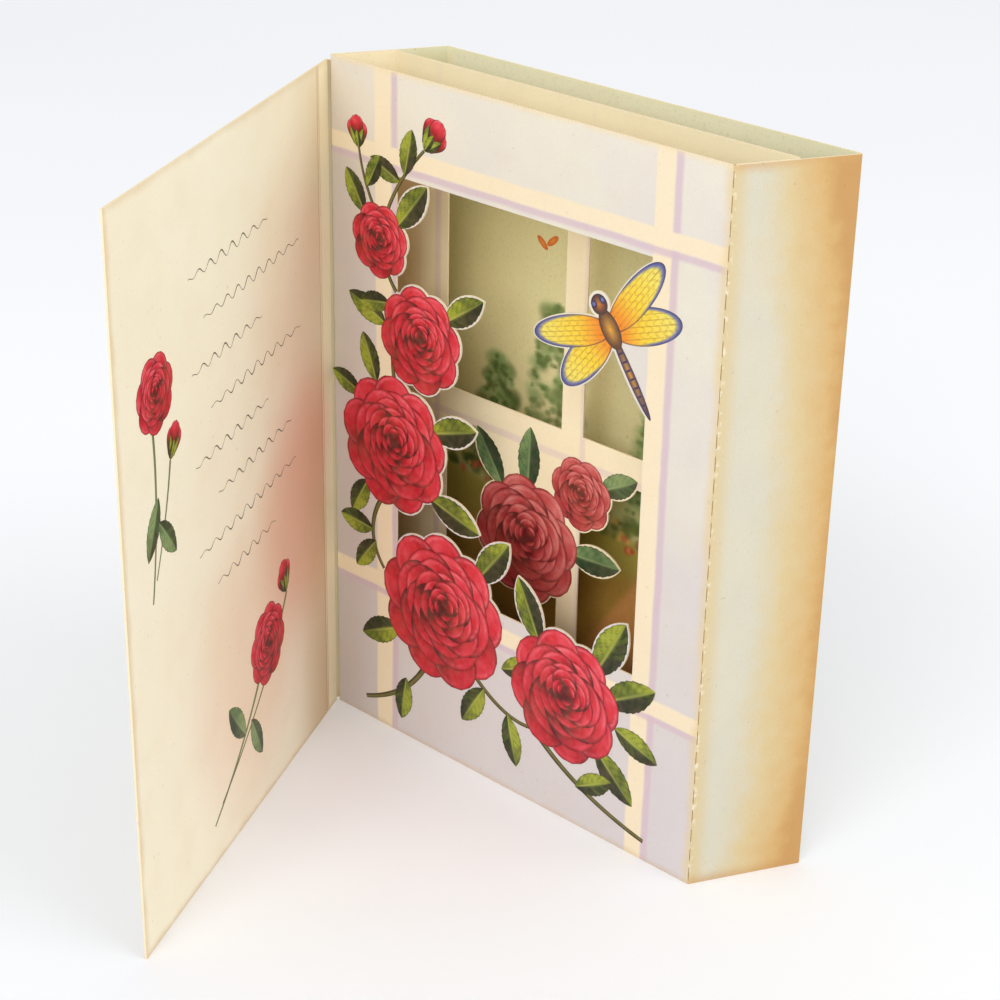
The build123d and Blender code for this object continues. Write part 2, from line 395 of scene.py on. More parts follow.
class Nodes:
    """Short calls that build one material's nodes."""

    # The mix node's sockets for colours.
    SHARE, FIRST, SECOND, RESULT = 0, 6, 7, 2

    def __init__(self, name):
        self.material = bpy.data.materials.new(name)
        self.material.use_nodes = True
        self.tree = self.material.node_tree
        self.tree.nodes.clear()
        self.place = self.add("ShaderNodeTexCoord").outputs["Object"]

    def add(self, kind):
        """A new node of this kind."""
        return self.tree.nodes.new(kind)

    def feed(self, socket, value):
        """Links a socket to another node's output, or sets it to a display colour or a number."""
        if isinstance(value, bpy.types.NodeSocket):
            self.tree.links.new(value, socket)
        elif isinstance(value, tuple):
            socket.default_value = (*linear(value), 1.0)
        else:
            socket.default_value = value

    def maths(self, operation, *values):
        """The output of one maths node."""
        node = self.add("ShaderNodeMath")
        node.operation = operation
        for socket, value in zip(node.inputs, values):
            self.feed(socket, value)
        return node.outputs[0]

    def plus(self, a, b):
        return self.maths("ADD", a, b)

    def minus(self, a, b):
        return self.maths("SUBTRACT", a, b)

    def times(self, a, b):
        return self.maths("MULTIPLY", a, b)

    def ramp(self, value, low, high):
        """0 at low, 1 at high, smooth between."""
        node = self.add("ShaderNodeMapRange")
        node.interpolation_type = "SMOOTHSTEP"
        self.feed(node.inputs["Value"], value)
        node.inputs["From Min"].default_value = low
        node.inputs["From Max"].default_value = high
        return node.outputs["Result"]

    def band(self, value, low, high, soft):
        """1 between low and high, 0 outside."""
        rise = self.ramp(value, low - soft, low + soft)
        fall = self.ramp(value, high + soft, high - soft)
        return self.times(rise, fall)

    def mix(self, share, a, b):
        """Colour a where share is 0 and b where it is 1."""
        node = self.add("ShaderNodeMix")
        node.data_type = "RGBA"
        self.feed(node.inputs[self.SHARE], share)
        self.feed(node.inputs[self.FIRST], a)
        self.feed(node.inputs[self.SECOND], b)
        return node.outputs[self.RESULT]

    def tint(self, colour, tone, where, strength):
        """Lays a tone over a colour where the mask is 1, at this strength."""
        return self.mix(self.times(where, strength), colour, tone)

    def noise(self, size, detail=3.0, stretch=(1, 1, 1)):
        """Noise whose lumps are about this many metres across."""
        vector = self.add("ShaderNodeVectorMath")
        vector.operation = "MULTIPLY"
        self.feed(vector.inputs[0], self.place)
        vector.inputs[1].default_value = stretch
        node = self.add("ShaderNodeTexNoise")
        self.feed(node.inputs["Vector"], vector.outputs[0])
        node.inputs["Scale"].default_value = 1 / size
        node.inputs["Detail"].default_value = detail
        return node.outputs["Fac"]

    def clouds(self, size, detail, a, b):
        """Drifts between two tones in soft clouds about this many metres across."""
        return self.mix(self.ramp(self.noise(size, detail), 0.3, 0.7), a, b)

    def sway(self, amount, size, detail, stretch=(1, 1, 1)):
        """Noise that swings about zero, by this amount in all."""
        return self.times(self.minus(self.noise(size, detail, stretch), 0.5), amount)

    def axis(self, direction, offset=0.0):
        """Distance along a direction, in millimetres, from a plane at offset metres."""
        node = self.add("ShaderNodeVectorMath")
        node.operation = "DOT_PRODUCT"
        self.feed(node.inputs[0], self.place)
        node.inputs[1].default_value = direction
        shifted = self.minus(node.outputs["Value"], offset)
        return self.times(shifted, 1 / MM)

    def from_top(self, z):
        """Distance down from the card's top, where z is the height."""
        return self.minus(HEIGHT / MM, z)

    def finish_card(self, colour, roughness=0.62, grain=0.05, bump=0.12):
        """Card: a fine fibre grain in colour and height, faint stains, and a few darker specks."""
        fibre = self.noise(FIBRE, 4.0)
        colour = self.tint(colour, FIBRE_TONE, self.ramp(fibre, 0.35, 0.75), grain)
        colour = self.tint(colour, STAIN_TONE, self.ramp(self.noise(STAIN, 3.0), 0.45, 0.75), 0.05)
        colour = self.tint(colour, SPECK_TONE, self.ramp(self.noise(SPECK, 1.0), 0.73, 0.80), 0.16)
        relief = self.add("ShaderNodeBump")
        relief.inputs["Strength"].default_value = bump
        relief.inputs["Distance"].default_value = FIBRE_DEPTH
        self.feed(relief.inputs["Height"], fibre)
        shader = self.add("ShaderNodeBsdfPrincipled")
        self.feed(shader.inputs["Base Color"], colour)
        shader.inputs["Roughness"].default_value = roughness
        shader.inputs["Specular IOR Level"].default_value = 0.35
        self.feed(shader.inputs["Normal"], relief.outputs["Normal"])
        output = self.add("ShaderNodeOutputMaterial")
        self.feed(output.inputs["Surface"], shader.outputs["BSDF"])
        return self.material


def paint_material():
    """The printed ink: the painted colour, slightly uneven, a little glossier than the card."""
    n = Nodes("printed_ink")
    paint = n.add("ShaderNodeVertexColor")
    paint.layer_name = "paint"
    wash = n.ramp(n.noise(1.6 * MM, 4.0), 0.3, 0.75)
    colour = n.tint(paint.outputs["Color"], (255, 214, 188), wash, 0.045)
    shade = n.ramp(n.noise(0.6 * MM, 3.0), 0.5, 0.8)
    colour = n.tint(colour, (46, 14, 12), shade, 0.12)
    return n.finish_card(colour, roughness=0.48, grain=0.03, bump=0.08)


EDGE_TINT_WANDER = 7 * MM


def edge_age_or_light(n, colour, distance, reach, tone, share):
    """Tints a colour near an edge: brown for age on most faces, and lighter for painted light on the
    faces inside the open box. Distance is how far inside the edge, in millimetres.
    """
    wander = n.times(n.noise(EDGE_TINT_WANDER, 3.0), reach)
    near = n.ramp(n.plus(distance, wander), reach * 1.5, reach * 0.3)
    return n.tint(colour, tone, near, share)


# The painted window bars' low and high edges, in millimetres across and up the front panel.
UPRIGHT_BARS = [(13.8, 18.6), (88.0, 92.4)]
LEVEL_BARS = [(35.0, 38.8), (133.4, 136.9)]
BAR_CREAM, BAR_SHADOW = (245, 229, 199), (214, 190, 202)
SIDE_SHADOW, UNDER_SHADOW = 1.8, 1.5


def front_print():
    """The front panel: a pale lilac grey wall with painted cream window bars, and painted shade of the
    cover towards the hinge.
    """
    n = Nodes("front_print")
    x = n.axis((1, 0, 0), -WIDTH / 2)
    z = n.axis((0, 0, 1))
    wobble = n.sway(0.9, 14 * MM, 2.0)
    bar_x, bar_z = n.plus(x, wobble), n.plus(z, wobble)
    ground = n.clouds(26 * MM, 2.0, (232, 227, 211), (222, 216, 214))
    ground = n.tint(ground, (214, 207, 211), n.ramp(z, 120.0, 20.0), 0.8)
    # Painted shade: the panel darkens towards the hinge, where the open cover shades it.
    ground = n.tint(ground, (196, 178, 168), n.ramp(x, 24.0, 1.0), 0.45)
    ground = n.tint(ground, (238, 231, 215), n.ramp(z, 128.0, 152.0), 0.6)
    for low, high in UPRIGHT_BARS:
        ground = n.tint(ground, BAR_SHADOW, n.band(bar_x, high, high + SIDE_SHADOW, 0.5), 0.8)
        ground = n.mix(n.band(bar_x, low, high, 0.35), ground, BAR_CREAM)
    for low, high in LEVEL_BARS:
        ground = n.tint(ground, BAR_SHADOW, n.band(bar_z, low - UNDER_SHADOW, low, 0.45), 0.8)
        ground = n.mix(n.band(bar_z, low, high, 0.35), ground, BAR_CREAM)
    ground = edge_age_or_light(n, ground, n.minus(WIDTH / MM, x), 2.6, (228, 204, 150), 0.75)
    ground = edge_age_or_light(n, ground, z, 1.6, (206, 176, 132), 0.5)
    ground = edge_age_or_light(n, ground, n.from_top(z), 1.4, (244, 222, 176), 0.6)
    return n.finish_card(ground)


def wall_print(name, fold):
    """An outside wall: pale by its front fold, aged to golden tan towards the back."""
    n = Nodes(name)
    s = n.axis(WALL, fold.dot(WALL))
    z = n.axis((0, 0, 1))
    wander = n.plus(n.sway(9.0, 22 * MM, 4.0, (1, 1, 0.45)), n.sway(5.0, 3.5 * MM, 4.0))
    ends = n.plus(n.ramp(z, 108.0, 152.4), n.ramp(z, 30.0, 0.0))
    reach = n.plus(n.plus(s, wander), n.times(ends, 4.2))
    colour = n.clouds(17 * MM, 2.0, (216, 209, 187), (211, 207, 188))
    colour = n.mix(n.ramp(reach, 7.5, 17.0), colour, (216, 195, 148))
    colour = n.mix(n.ramp(reach, 14.0, 25.0), colour, (212, 172, 110))
    colour = n.tint(colour, (192, 142, 84), n.ramp(reach, 21.5, 27.0), 0.7)
    colour = n.tint(colour, (216, 194, 144), n.ramp(s, 4.5, 0.4), 0.8)
    scuff = n.times(n.ramp(n.noise(1.4 * MM, 4.0), 0.52, 0.66), n.ramp(s, 1.2, 0.2))
    colour = n.tint(colour, (244, 236, 216), scuff, 0.7)
    colour = edge_age_or_light(n, colour, z, 3.0, (198, 152, 94), 0.7)
    colour = edge_age_or_light(n, colour, n.from_top(z), 2.2, (206, 160, 100), 0.6)
    return n.finish_card(colour, grain=0.08)


def plain_print(name, middle, edge, share=0.6):
    """Plain card, tinted towards its top and foot: most faces are browned there with age, and the faces
    inside the box are lighter there, painted light from the box's open top and foot.
    """
    n = Nodes(name)
    z = n.axis((0, 0, 1))
    colour = n.clouds(30 * MM, 3.0, middle, tuple(0.97 * c for c in middle))
    colour = edge_age_or_light(n, colour, z, 3.5, edge, share)
    colour = edge_age_or_light(n, colour, n.from_top(z), 3.0, edge, share)
    return n.finish_card(colour)


CREAM, LILAC = (252, 236, 198), (222, 196, 204)


def layer_print():
    """The window layer: cream bars, browner at the left, which is painted shade on the left stile deep
    inside the box.
    """
    n = Nodes("layer_print")
    x = n.axis((1, 0, 0), -WIDTH / 2 + LAYER_SETBACK * LEAN)
    z = n.axis((0, 0, 1))
    colour = n.clouds(20 * MM, 2.0, (254, 240, 206), (250, 234, 198))
    # Painted shade: tan darkening towards the left stile, which lies in shade inside the box.
    colour = n.tint(colour, (220, 176, 116), n.ramp(x, 22.0, 2.0), 0.5)
    for place, low, high, tone, strength in (
        (x, 8.5, 12.6, CREAM, 0.5),
        (x, 12.8, 14.4, LILAC, 0.5),
        (x, 54.9, 56.4, LILAC, 0.4),
        (z, 75.6, 77.2, LILAC, 0.45),
    ):
        colour = n.tint(colour, tone, n.band(place, low, high, 0.4), strength)
    colour = n.tint(colour, (214, 180, 140), n.ramp(z, 60.0, 10.0), 0.3)
    colour = n.tint(colour, (255, 244, 208), n.ramp(z, 136.0, 148.0), 0.85)
    return n.finish_card(colour)


# Soft peach glows on the cover: place, reach each way and strength.
GLOWS = [
    (14.0, 60.0, 32.0, 32.0, 0.64),
    (52.0, 36.0, 30.0, 34.0, 0.25),
    (20.0, 112.0, 26.0, 30.0, 0.15),
]
# Places across the cover, in millimetres from the hinge line: the scored crease and the free edge.
CREASE_LOW, CREASE_HIGH = 5.4, 6.6
FREE_EDGE = 104.4
COVER_DROP = 0.9


def cover_print():
    """The cover's inside: cream with a soft peach glow, darker beside the hinge and low down by it,
    partly printed tan and partly painted shade of the corner where the cover meets the box.
    """
    n = Nodes("cover_print")
    x = n.axis(COVER_ALONG, HINGE.dot(COVER_ALONG))
    z = n.axis((0, 0, 1))
    colour = n.clouds(36 * MM, 2.0, (254, 247, 222), (252, 242, 214))
    for centre_x, centre_z, reach_x, reach_z, share in GLOWS:
        dx = n.maths("DIVIDE", n.minus(x, centre_x), reach_x)
        dz = n.maths("DIVIDE", n.minus(z, centre_z), reach_z)
        far = n.plus(n.times(dx, dx), n.times(dz, dz))
        colour = n.tint(colour, (236, 170, 134), n.ramp(far, 1.3, 0.0), share)
    # Darker towards the hinge and low down by it: partly a printed tan, partly painted shade of the
    # corner where the cover meets the box.
    colour = n.tint(colour, (222, 192, 138), n.ramp(x, 26.0, 3.0), 0.4)
    low = n.times(n.ramp(z, 62.0, 0.0), n.ramp(x, 30.0, 4.0))
    colour = n.tint(colour, (204, 164, 118), low, 0.6)
    colour = n.tint(colour, (255, 242, 206), n.ramp(x, 5.6, 4.9), 0.9)
    # Painted shade in the scored crease: a darker line along it.
    colour = n.tint(colour, (176, 140, 98), n.band(x, CREASE_LOW, CREASE_HIGH, 0.35), 0.35)
    colour = edge_age_or_light(n, colour, n.minus(FREE_EDGE, x), 2.4, (224, 192, 140), 0.6)
    colour = edge_age_or_light(n, colour, z, 2.0, (222, 190, 140), 0.6)
    colour = edge_age_or_light(n, colour, n.minus(HEIGHT / MM - COVER_DROP, z), 2.0, (230, 204, 156), 0.5)
    return n.finish_card(colour)


def cut_edge():
    """The card's raw edge, warm cream, with the layers of the board just showing."""
    n = Nodes("cut_edge")
    fibre = n.noise(0.12 * MM, 3.0, (1, 1, 4))
    colour = n.mix(n.ramp(fibre, 0.35, 0.7), (253, 240, 208), (244, 218, 172))
    return n.finish_card(colour, roughness=0.8, grain=0.04)


# ---- The three CAD sheets --------------------------------------------------------------------------
ink = paint_material()
edge_finish = cut_edge()

# How square a normal stands to a direction before its face counts as facing it, or as a cut end.
SQUARE, AT_AN_END, ASIDE, OUTSIDE = 0.9, 0.5, 0.6, 0.3


def dress(node, finishes, choose):
    """Gives each face of a CAD node the finish that choose(normal, centre) names."""
    piece = frame["nodes"][node]
    piece.data.materials.clear()
    names = list(finishes)
    for name in names:
        piece.data.materials.append(finishes[name])
    for face in piece.data.polygons:
        face.material_index = names.index(choose(face.normal, face.center))


# The cut-score's slits lie inside the right front fold, between these distances from its centre.
SLIT_NEAR, SLIT_FAR = 0.3 * MM, 0.57 * MM
CORNER_REACH = 0.7 * MM
HALF_WAY = 0.6 * CARD


def box_face(normal, centre):
    """Names the finish of one face of the box sheet, from where it lies and the way it faces."""
    forwards, backwards = normal.y < -SQUARE, normal.y > SQUARE
    outwards = normal.dot(WALL_OUT)
    at_corner = min(centre.x - box_low.x, WIDTH / 2 - centre.x) < CORNER_REACH
    if SLIT_NEAR < (centre.xy - FOLD_CENTRE.xy).length < SLIT_FAR:
        return "score"
    if abs(normal.z) > AT_AN_END:
        return "edge"
    if centre.y < FRONT + TINY and forwards:
        return "front"
    if centre.y > BACK - TINY:
        return "back"
    if centre.y > BACK - CARD - TINY and forwards:
        return "garden"
    if centre.y < FRONT + CARD - TINY and abs(normal.y) < ASIDE and not at_corner:
        return "edge"
    if centre.y < FRONT + 3 * CARD and backwards:
        return "reverse"
    if outwards > OUTSIDE and centre.x > 0 and normal.y < 0.1:
        return "right" if (centre - RIGHT_FOLD).dot(WALL_OUT) > -HALF_WAY else "wall_inside"
    if outwards < -OUTSIDE and centre.x < 0:
        return "left" if (centre - HINGE_SIDE).dot(WALL_OUT) < HALF_WAY else "wall_inside"
    if centre.y > BACK - CARD + TINY:
        return "back"
    return "wall_inside"


dress("box_sheet", {
    "front": front_print(),
    "right": wall_print("right_wall_print", RIGHT_FOLD),
    "left": wall_print("left_wall_print", HINGE_SIDE),
    "back": plain_print("back_print", (232, 226, 208), (208, 164, 104)),
    # The garden ground and the inner walls get lighter towards their top and foot: painted light from
    # the box's open ends.
    "garden": plain_print("garden_ground", (238, 234, 194), (248, 246, 212), 0.7),
    "wall_inside": plain_print("wall_inside_print", (226, 222, 182), (240, 238, 206), 0.7),
    "reverse": plain_print("reverse_card", (244, 232, 206), (226, 196, 148)),
    "score": plain_print("score_cut", (206, 170, 106), (190, 150, 92)),
    "edge": edge_finish,
}, box_face)


LAYER_MARGIN = 8 * MM


def layer_face(normal, centre):
    """Names the finish of one face of the window layer: its panes' cut sides are raw card."""
    on_panel = centre.y > FRONT + LAYER_SETBACK - TINY
    inner = layer_low.x + LAYER_MARGIN < centre.x < layer_high.x - LAYER_MARGIN
    if abs(normal.z) > AT_AN_END and not TINY <= centre.z <= HEIGHT - TINY:
        return "edge"
    if on_panel and inner and abs(normal.y) < ASIDE:
        return "edge"
    return "reverse" if normal.y > SQUARE else "print"


dress("window_layer", {
    "print": layer_print(),
    "reverse": plain_print("layer_reverse", (240, 228, 200), (224, 190, 138)),
    "edge": edge_finish,
}, layer_face)


def cover_face(normal, centre):
    """Names the finish of one face of the cover, from the way it faces."""
    if normal.dot(COVER_INWARD) > SQUARE:
        return "print"
    if normal.dot(COVER_INWARD) < -SQUARE:
        return "outside"
    return "edge"


dress("cover_leaf", {
    "print": cover_print(),
    "outside": plain_print("cover_outside", (236, 228, 208), (208, 166, 108)),
    "edge": edge_finish,
}, cover_face)

# ---- Front panel art -------------------------------------------------------------------------------
ACROSS = Vector((1, 0, 0))
OUTWARD = Vector((0, -1, 0))
front_art = Painting(HINGE_SIDE, ACROSS, OUTWARD)
STEM_DARK, STEM_LIGHT = (44, 44, 14), (132, 124, 54)
# Each stem is its start, bend and end, then its width. The leaves are like FRONT_LEAVES, and the
# buds are x, z, length, the way they point, and the seed of their shading.
PANEL_STEMS = [
    (((30, 22), (24, 10), (10, 5)), 1.5),
    (((62, 18), (74, 8), (93, 4.5)), 1.5),
    (((42, 26), (55, 14), (66, 20)), 1.2),
    (((16, 58), (9, 48), (16, 40)), 1.3),
    (((20, 84), (17, 92), (22, 100)), 1.2),
    (((20, 106), (16, 110), (15, 118)), 1.1),
    (((17, 122), (20, 130), (28, 138)), 1.0),
    (((14, 122), (10, 128), (9, 135)), 0.9),
]
PANEL_BUDS = [(28, 138, 8.5, 52, 3), (9, 134.5, 7.0, 96, 5)]
PANEL_LEAVES = [
    (21, 27, 13, 6.0, 205), (23, 15, 11, 5.0, 262), (54, 18.6, 12, 5.2, 284), (47, 22, 12, 5.4, 238),
    (79, 21, 14, 6.2, 318), (84, 28, 12, 5.4, 342), (11, 60, 10, 5.0, 240), (14, 84, 11, 5.0, 112),
    (9, 80, 9, 4.4, 160), (17, 98, 12, 5.2, 158), (18, 103, 9, 4.2, 190), (10.6, 121, 10, 4.6, 122),
    (12.5, 48.5, 10, 5.0, 176), (13.5, 46, 10, 4.6, 232), (22.4, 131.6, 10, 4.4, 78),
    (21, 130, 9, 4.0, 158), (74, 9.4, 11, 4.8, 28), (11.4, 127, 8, 3.6, 62), (52, 29, 11, 5.0, 22),
]
for points, width in PANEL_STEMS:
    ribbon(front_art, points, width, STEM_DARK, STEM_LIGHT, level=1, taper=0.3)
for number, spot in enumerate(PANEL_LEAVES + FRONT_LEAVES):
    leaf(front_art, *spot, GREEN, level=2 + 0.2 * number)
for number, spot in enumerate(FRONT_BLOOMS):
    bloom(front_art, *spot, RED, seed=11 + number, level=8)
for *spot, seed in PANEL_BUDS:
    bud(front_art, *spot, RED, GREEN, seed)
front_art.build("front_flowers", ink, "box")

# ---- Dragonfly -------------------------------------------------------------------------------------
THORAX_X, THORAX_Z = OPENING_RIGHT - 9.5, OPENING_TOP - 17.0
HEADING = 125
TAIL_RINGS = 7


def wing(painting, x, z, length, width, degrees, level):
    """A rounded wing: yellow, orange at the root, with brown veins and a dark blue rim."""
    r = np.linspace(0, 1, 24)[:, None]
    a = np.linspace(0, 2 * math.pi, 72)[None, :]
    along = length / 2 + (length / 2 + PAINT_GROWTH) * r * np.cos(a)
    across = (width / 2 + PAINT_GROWTH) * r * np.sin(a)
    u = along / length
    cell = np.abs(((u * 9 + 0.35 * np.sin(across * 3)) % 1) - 0.5)
    rib = np.abs(((across / width * 6) % 1) - 0.5)
    colour = blend(smooth(u, 0.05, 0.5), (240, 132, 30), (246, 214, 62))
    colour = blend(0.6 * smooth(u, 0.45, 0.9), colour, (236, 236, 130))
    colour = blend(0.55 * smooth(cell, 0.36, 0.5) * smooth(u, 0.2, 0.4), colour, (198, 130, 40))
    colour = blend(0.55 * smooth(rib, 0.38, 0.5), colour, (150, 96, 50))
    colour = blend(smooth(r, 0.78, 0.93) * smooth(u, 0.35, 0.6), colour, (92, 104, 172))
    colour = blend(smooth(r * np.ones_like(a), 0.93, 1.0), colour, (38, 36, 76))
    grid_x, grid_z = turned(along, across, x, z, degrees)
    painting.grid(grid_x, grid_z, colour, level)


def body_oval(ahead, aside, half_long, half_wide, centre, rim, level):
    """One part of the dragonfly's body, placed ahead of its thorax and to its side."""
    x, z = turned(ahead, aside, THORAX_X, THORAX_Z, HEADING)
    oval(dragonfly, x, z, half_long, half_wide, HEADING, centre, rim, level)


dragonfly = Painting(HINGE_SIDE, ACROSS, OUTWARD)
for number, (length, width, angle) in enumerate(reversed(WINGS)):
    wing(dragonfly, THORAX_X, THORAX_Z, length, width, HEADING + angle, 2 + number)
body_oval(-9.5, 0, 9.5, 1.1, (214, 150, 60), (50, 46, 88), 7)
for k in range(TAIL_RINGS):
    body_oval(-5.0 - 1.8 * k, 0, 0.22, 0.95 - 0.05 * k, (44, 40, 80), (60, 54, 96), 8)
body_oval(0, 0, 4.2, 2.3, (232, 168, 62), (74, 48, 44), 9)
body_oval(5.25, 0, 2.1, 2.1, (206, 120, 44), (52, 38, 54), 10)
for side in (-1, 1):
    body_oval(5.8, 1.25 * side, 0.85, 0.75, (120, 140, 200), (28, 28, 60), 11)
dragonfly.build("front_dragonfly", ink, "box")

# ---- Window layer art ------------------------------------------------------------------------------
LAYER_CORNER = HINGE_SIDE + Vector((LAYER_SETBACK * LEAN, LAYER_SETBACK, 0))
layer_art = Painting(LAYER_CORNER, ACROSS, OUTWARD)
middle = WIDTH / MM / 2
for number, (x, z, *rest) in enumerate(LAYER_LEAVES):
    leaf(layer_art, middle + x, z, *rest, COOL_GREEN, level=number)
for number, (x, z, *rest) in enumerate(LAYER_BLOOMS):
    bloom(layer_art, middle + x, z, *rest, DUSTY, seed=31 + number)
layer_art.build("layer_flowers", ink, "box")

# ---- Garden view on the inside of the back panel -----------------------------------------------------
BACK_CORNER = HINGE_SIDE + Vector(((BACK - CARD - FRONT) * LEAN, BACK - CARD - FRONT, 0))
SOFT_GREENS = [(112, 142, 76), (88, 118, 58), (146, 176, 108), (70, 92, 38), (164, 188, 120)]
SCORE_PITCH = 4.6
SCORES = int(HEIGHT / MM / SCORE_PITCH)
HEDGE_GREENS = [(92, 112, 44), (118, 132, 52), (74, 92, 34)]
BORDER_FLOWERS = [(214, 66, 52), (232, 118, 78), (244, 200, 96)]
# Each tree is its place, foot, top, spread and seed.
TREES = [(33, 64, 104, 8.5, 2), (17, 62, 88, 6.5, 3), (62, 60, 92, 7.5, 4), (94, 60, 82, 6.0, 5)]
CROWN_DABS, BROAD_DABS = 260, 60
VIEW_ACROSS = np.linspace(1.0, 104.4, 208)
VIEW_UP = np.linspace(0.6, 151.8, 304)


def view_colour(x, z):
    """The painted view: a hazy sky, far hills, a meadow and a sandy path."""
    colour = blend(smooth(z, 66, 126), (255, 244, 190), (238, 232, 178))
    # Darker towards the left: partly a printed tone, partly painted shade inside the box's left side.
    colour = blend(0.4 * smooth(x, 44, 4), colour, (206, 184, 122))
    # Paler towards the top: partly the printed sky, partly painted light coming in at the box's open
    # top.
    colour = blend(smooth(z, 124, 148), colour, (242, 240, 208))
    hills = 66 + 3.0 * np.sin(x / 9.0) + 1.6 * np.sin(x / 4.1 + 1)
    colour = blend(0.7 * smooth(z, hills + 2.0, hills - 1.5), colour, (188, 190, 116))
    meadow = 58 + 1.2 * np.sin(x / 6.0 + 2)
    colour = blend(smooth(z, meadow + 1.5, meadow - 1.5), colour, (186, 170, 76))
    bank = 47 + 2.0 * np.sin(x / 8.0)
    colour = blend(smooth(z, bank + 3, bank - 3), colour, (184, 144, 60))
    path = np.abs(x - 66 - 0.35 * (z - 50)) - (4 + 0.35 * (58 - z))
    sand = smooth(path, 1.5, -1.5) * smooth(z, meadow, meadow - 4)
    colour = blend(sand, colour, (222, 158, 86))
    return blend(smooth(z, 34, 18), colour, (150, 112, 56))


def dab(view, x, z, size, colour, strength, squash):
    """A soft touch of the brush on the view's grid of places and colours."""
    grid_x, grid_z, colours = view
    far = np.hypot((grid_x - x) / size, (grid_z - z) / (size * squash))
    colours[:] = blend(strength * smooth(far, 1.0, 0.3), colours, colour)


def tree(view, x, foot, top, spread, seed):
    """A leafy crown: broad pale dabs first, then small dark ones."""
    rng = random.Random(seed)
    for k in range(CROWN_DABS):
        early = k < BROAD_DABS
        rise = rng.random() ** 0.9
        reach = spread * (1 - rise) ** 0.45 + 0.6
        size = rng.uniform(2.6, 3.8) if early else rng.uniform(0.7, 1.5)
        spot = (x + rng.uniform(-1, 1) * reach, foot + rise * (top - foot))
        tone = rng.choice(SOFT_GREENS[2:] if early else SOFT_GREENS[:4])
        strength = rng.uniform(0.25, 0.5) if early else rng.uniform(0.3, 0.75)
        dab(view, *spot, size, tone, strength, 0.8)


def border(view, rng, dabs, span, height, swell, scatter, sizes, tones, strengths, squash):
    """A waving row of dabs across the view."""
    for _ in range(dabs):
        x = rng.uniform(*span)
        z = height + swell * math.sin(x / 5) + rng.uniform(*scatter)
        dab(view, x, z, rng.uniform(*sizes), rng.choice(tones), rng.uniform(*strengths), squash)


def garden_view():
    """The view with its trees, hedge and flowers, a small moth, and the light dashes of the score."""
    grid_x, grid_z = np.meshgrid(VIEW_ACROSS, VIEW_UP)
    view = (grid_x, grid_z, view_colour(grid_x, grid_z))
    for spot in TREES:
        tree(view, *spot)
    rng = random.Random(9)
    border(view, rng, 170, (2, 102), 60, 1.5, (-2.5, 2.0), (1.2, 2.6), HEDGE_GREENS, (0.4, 0.8), 0.8)
    border(view, rng, 90, (4, 100), 59, 1.8, (-2.6, 3), (0.8, 1.5), BORDER_FLOWERS, (0.7, 0.95), 1.0)
    painting = Painting(BACK_CORNER, ACROSS, OUTWARD)
    painting.grid(*view)
    for side in (-1, 1):
        spot = (30 + 1.4 * side, 117 + 0.5 * side)
        oval(painting, *spot, 1.9, 0.75, 40 * side, (244, 158, 54), (216, 100, 42), 3)
    for k in range(SCORES):
        dash = SCORE_PITCH * (k + 0.5)
        oval(painting, 1.3, dash, SCORE_PITCH * 0.33, 0.16, 90, (255, 246, 206), (250, 228, 176), 3)
    painting.build("garden_view", ink, "box")


garden_view()

# ---- Cover art -------------------------------------------------------------------------------------
COVER_FOOT = HINGE + COVER_ALONG * COVER_GAP
COVER_CORNER = Vector((COVER_FOOT.x, COVER_FOOT.y, 0))
COVER_STEMS = [
    (((90, 108), (88, 92), (93, 72)), 0.9),
    (((83, 97), (85, 88), (91, 76)), 0.7),
    (((42, 34), (52, 20), (70, 9)), 1.0),
    (((29, 43), (40, 26), (66, 12)), 0.8),
]
COVER_LEAVES = [
    (88.7, 92, 12, 4.8, 296), (89, 87, 11, 4.4, 232), (53, 21, 13, 5.2, 52), (50, 23, 12, 4.6, 244),
]
COVER_BLOOMS = [(88, 112, 7.5, 7), (40, 36, 9.0, 8)]
COVER_BUDS = [(83, 97, 7.5, 118, 6), (29, 43, 8.5, 74, 7)]
cover_art = Painting(COVER_CORNER, COVER_ALONG, COVER_INWARD)
for points, width in COVER_STEMS:
    ribbon(cover_art, points, width, (70, 84, 36), (142, 160, 92), level=1, taper=0.4)
for number, spot in enumerate(COVER_LEAVES):
    leaf(cover_art, *spot, COOL_GREEN, level=2 + number)
for number, spot in enumerate(COVER_BLOOMS):
    bloom(cover_art, *spot, RED, seed=51 + number)
for *spot, seed in COVER_BUDS:
    bud(cover_art, *spot, RED, GREEN, seed)
cover_art.build("cover_flowers", ink, "cover")


# Where each pen line starts and ends, from the cover's foot by the hinge, in millimetres.
VERSE_LINES = [(72, 34), (66, 18), (72, 38), (64, 18), (72, 36), (62, 24), (72, 22), (64, 34)]
VERSE_TOP, VERSE_PITCH = 128, 9.4
WAVE_LENGTH = 5.2
PEN_DARK, PEN_LIGHT = (84, 70, 62), (104, 88, 76)


def flourish(painting, start, end, z, seed):
    """A fine pen line that waves gently and swells and fades: an ornament that spells nothing."""
    rng = random.Random(seed)
    length = start - end
    t = np.linspace(0, 1, int(length * 8))
    fade = np.sin(math.pi * t) ** 0.5
    rise = 0.95 * fade * np.sin(2 * math.pi * (length / WAVE_LENGTH * t + rng.random()))
    width = 0.12 + 0.2 * fade * (0.5 + 0.5 * np.cos(2 * math.pi * length / WAVE_LENGTH * t))
    line(painting, start - length * t, z + rise, width, PEN_DARK, PEN_LIGHT, 1, 3)


pen_art = Painting(COVER_CORNER, COVER_ALONG, COVER_INWARD)
for number, (start, end) in enumerate(VERSE_LINES):
    flourish(pen_art, start, end, VERSE_TOP - VERSE_PITCH * number, 71 + number)
pen_art.build("cover_flourishes", ink, "cover")


# ---- The card fold that carries the cover ------------------------------------------------------------
STRIP_STANDOFF = 0.06 * MM
STRIP_THICKNESS = 0.04 * MM
STRIP_LOW, STRIP_HIGH = 0.3 * MM, HEIGHT - 1.2 * MM
STRIP_LEVELS = 24


